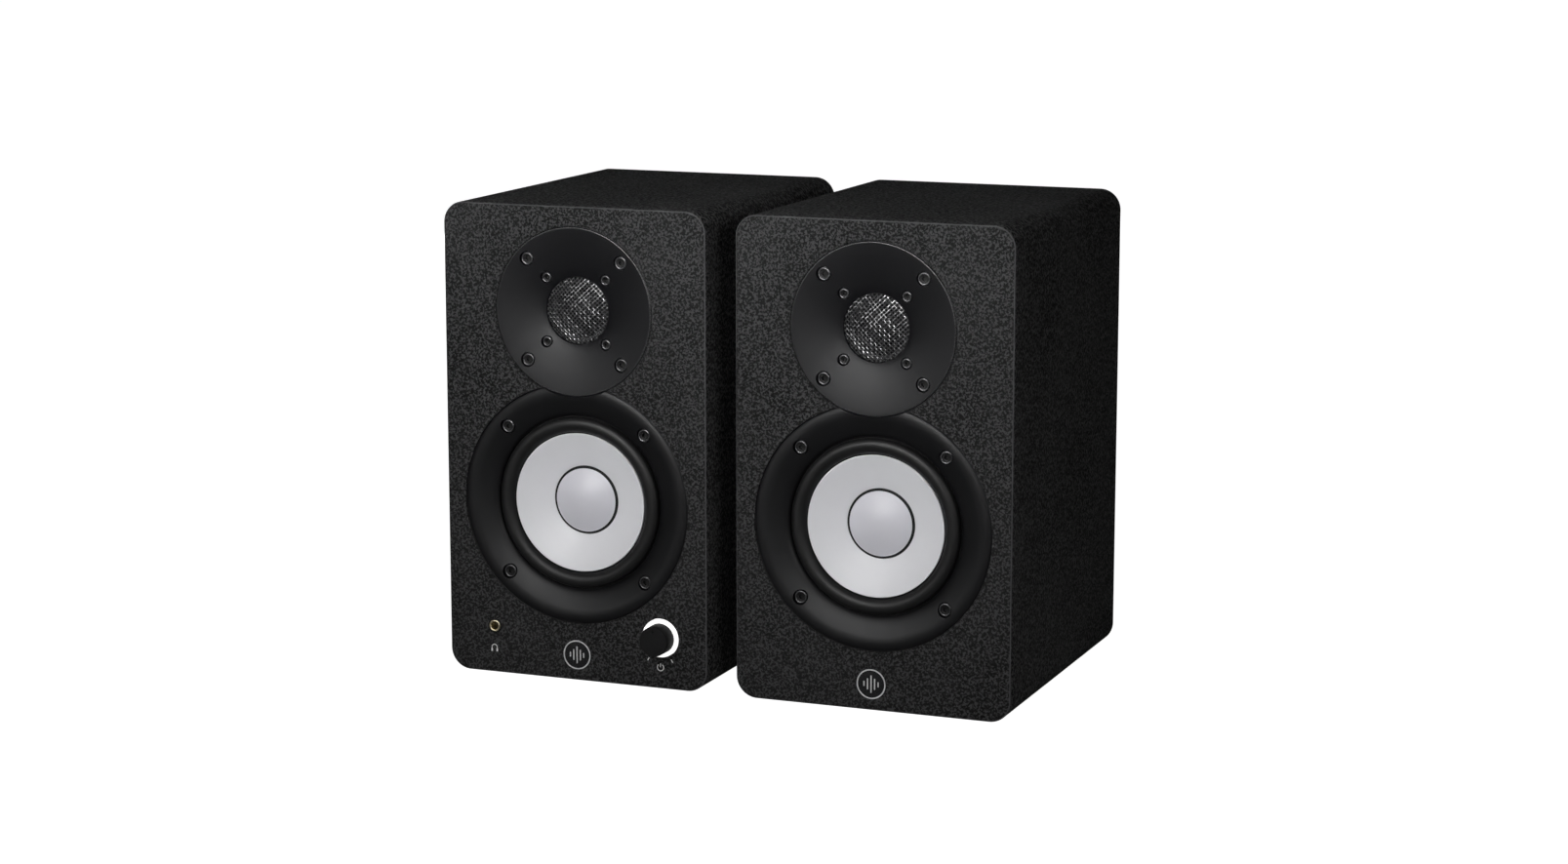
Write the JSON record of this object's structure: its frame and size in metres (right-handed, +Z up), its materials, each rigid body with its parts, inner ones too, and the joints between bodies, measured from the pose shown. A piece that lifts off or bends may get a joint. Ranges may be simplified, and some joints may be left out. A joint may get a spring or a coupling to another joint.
{
  "type": "desktop monitor speakers",
  "caption": "Pair of black two-way desktop monitor speakers with pale woofer cones, dished tweeter flanges, rear ports and a lit volume knob.",
  "frame": {"origin": "desk level, at the centre of the pair's bounding box", "axes": "+X from the left speaker to the right one, +Y from the fronts to the backs, +Z up"},
  "size_m": [0.2786, 0.184, 0.223],
  "materials": {
    "cabinet_wrap": "matte black fine-grained vinyl over fibreboard",
    "front_wrap": "matte black coarse-grained vinyl over fibreboard",
    "satin_black": "satin black moulded plastic",
    "knob_black": "fine satin black",
    "surround_rubber": "matte black rubber",
    "cone_white": "satin pearl grey cone",
    "cap_lilac": "satin pale lilac-grey dome",
    "coil": "wound former",
    "spider_cloth": "pressed resin-dipped cloth",
    "magnet": "dark ferrite and plated plates",
    "grille_mesh": "black woven wire mesh",
    "dome_silk": "black coated silk",
    "badge": "black disc with a plain silver mark",
    "screw_black": "black socket-head screw",
    "light_pipe": "frosted light pipe, lit white",
    "steel": "plated steel",
    "brass": "polished brass",
    "board": "green printed circuit board",
    "panel": "dark grey powder coat"
  },
  "bodies": {
    "left_speaker": {"left_cabinet_shell": "cabinet_wrap", "left_front_baffle": "front_wrap", "left_port_tube": "satin_black", "left_woofer_frame": "satin_black", "left_woofer_magnet": "magnet", "left_woofer_surround": "surround_rubber", "left_woofer_spider": "spider_cloth", "left_tweeter_flange": "satin_black", "left_tweeter_grille": "grille_mesh", "left_tweeter_magnet": "magnet", "left_badge": "badge", "left_link_socket": "satin_black", "left_woofer_screw_1": "screw_black", "left_tweeter_screw_1": "screw_black", "left_woofer_screw_2": "screw_black", "left_tweeter_screw_2": "screw_black", "left_woofer_screw_3": "screw_black", "left_tweeter_screw_3": "screw_black", "left_woofer_screw_4": "screw_black", "left_tweeter_screw_4": "screw_black", "left_light_ring": "light_pipe", "left_volume_pot": "steel", "left_headphone_jack": "brass", "left_amplifier_board": "board", "left_transformer": "steel", "left_mains_inlet": "satin_black", "left_input_sockets": "satin_black", "left_rear_panel": "panel"},
    "right_speaker": {"right_cabinet_shell": "cabinet_wrap", "right_front_baffle": "front_wrap", "right_port_tube": "satin_black", "right_woofer_frame": "satin_black", "right_woofer_magnet": "magnet", "right_woofer_surround": "surround_rubber", "right_woofer_spider": "spider_cloth", "right_tweeter_flange": "satin_black", "right_tweeter_grille": "grille_mesh", "right_tweeter_magnet": "magnet", "right_badge": "badge", "right_link_socket": "satin_black", "right_woofer_screw_1": "screw_black", "right_tweeter_screw_1": "screw_black", "right_woofer_screw_2": "screw_black", "right_tweeter_screw_2": "screw_black", "right_woofer_screw_3": "screw_black", "right_tweeter_screw_3": "screw_black", "right_woofer_screw_4": "screw_black", "right_tweeter_screw_4": "screw_black", "right_crossover_board": "board"},
    "left_woofer_cone": {"left_woofer_cone": "cone_white", "left_woofer_dust_cap": "cap_lilac", "left_woofer_voice_coil": "coil"},
    "right_woofer_cone": {"right_woofer_cone": "cone_white", "right_woofer_dust_cap": "cap_lilac", "right_woofer_voice_coil": "coil"},
    "left_tweeter_dome": {"left_tweeter_dome": "dome_silk"},
    "right_tweeter_dome": {"right_tweeter_dome": "dome_silk"},
    "left_volume_knob": {"left_volume_knob": "knob_black"},
    "left_room_switch": {"left_room_switch": "knob_black"},
    "left_treble_switch": {"left_treble_switch": "knob_black"}
  },
  "joints": [
    {"name": "speaker_spacing", "type": "slide", "parent": "left_speaker", "child": "right_speaker", "axis": [1, 0, 0], "range_m": [-0.012, 0.5]},
    {"name": "left_woofer_stroke", "type": "slide", "parent": "left_speaker", "child": "left_woofer_cone", "axis": [0, -1, 0], "range_m": [-0.003, 0.003], "stiffness_N_per_m": 1500, "deforming": ["left_woofer_surround", "left_woofer_spider"]},
    {"name": "left_tweeter_stroke", "type": "slide", "parent": "left_speaker", "child": "left_tweeter_dome", "axis": [0, -1, 0], "range_m": [-0.0004, 0.0004], "stiffness_N_per_m": 2000},
    {"name": "right_woofer_stroke", "type": "slide", "parent": "right_speaker", "child": "right_woofer_cone", "axis": [0, -1, 0], "range_m": [-0.003, 0.003], "stiffness_N_per_m": 1500, "deforming": ["right_woofer_surround", "right_woofer_spider"]},
    {"name": "right_tweeter_stroke", "type": "slide", "parent": "right_speaker", "child": "right_tweeter_dome", "axis": [0, -1, 0], "range_m": [-0.0004, 0.0004], "stiffness_N_per_m": 2000},
    {"name": "volume_turn", "type": "hinge", "parent": "left_speaker", "child": "left_volume_knob", "pos_m": [-0.0308, -0.085, 0.024], "axis": [0, 1, 0], "range_deg": [-150, 150]},
    {"name": "room_switch_slide", "type": "slide", "parent": "left_speaker", "child": "left_room_switch", "axis": [1, 0, 0], "range_m": [-0.002, 0.002]},
    {"name": "treble_switch_slide", "type": "slide", "parent": "left_speaker", "child": "left_treble_switch", "axis": [1, 0, 0], "range_m": [-0.002, 0.002]}
  ]
}
